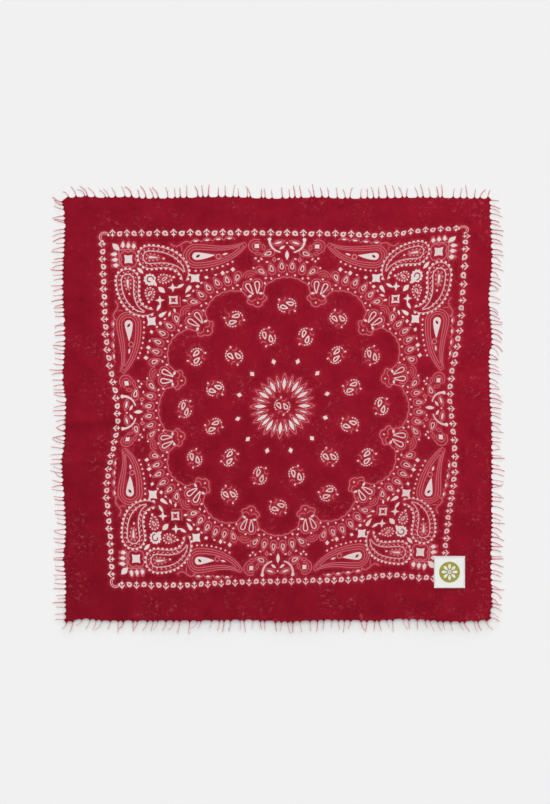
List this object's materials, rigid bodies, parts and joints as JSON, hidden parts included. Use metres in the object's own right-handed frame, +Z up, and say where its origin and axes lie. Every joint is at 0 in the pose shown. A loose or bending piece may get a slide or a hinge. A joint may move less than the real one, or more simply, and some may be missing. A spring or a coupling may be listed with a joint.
{
  "type": "bandana scarf",
  "caption": "Square fringed bandana scarf in fine red wool with a white traditional paisley print and a small woven label, laid out flat.",
  "frame": {"origin": "middle of the flat underside, on the surface that the scarf lies on", "axes": "+X to the right along the near edge, +Y to the far edge, +Z up from the surface; the label is at the near right corner"},
  "size_m": [0.6363, 0.6279, 0.0024],
  "materials": {
    "printed_wool": "deep red fine brushed wool with a soft matt nap, printed in off-white",
    "fringe_wool": "deep red twisted wool lashes, matt",
    "label_weave": "white close woven taffeta with an olive green rosette, slight sheen"
  },
  "bodies": {
    "root": {"cloth": "printed_wool", "fringe_near": "fringe_wool", "fringe_far": "fringe_wool", "fringe_left": "fringe_wool", "fringe_right": "fringe_wool", "label": "label_weave"}
  },
  "joints": []
}
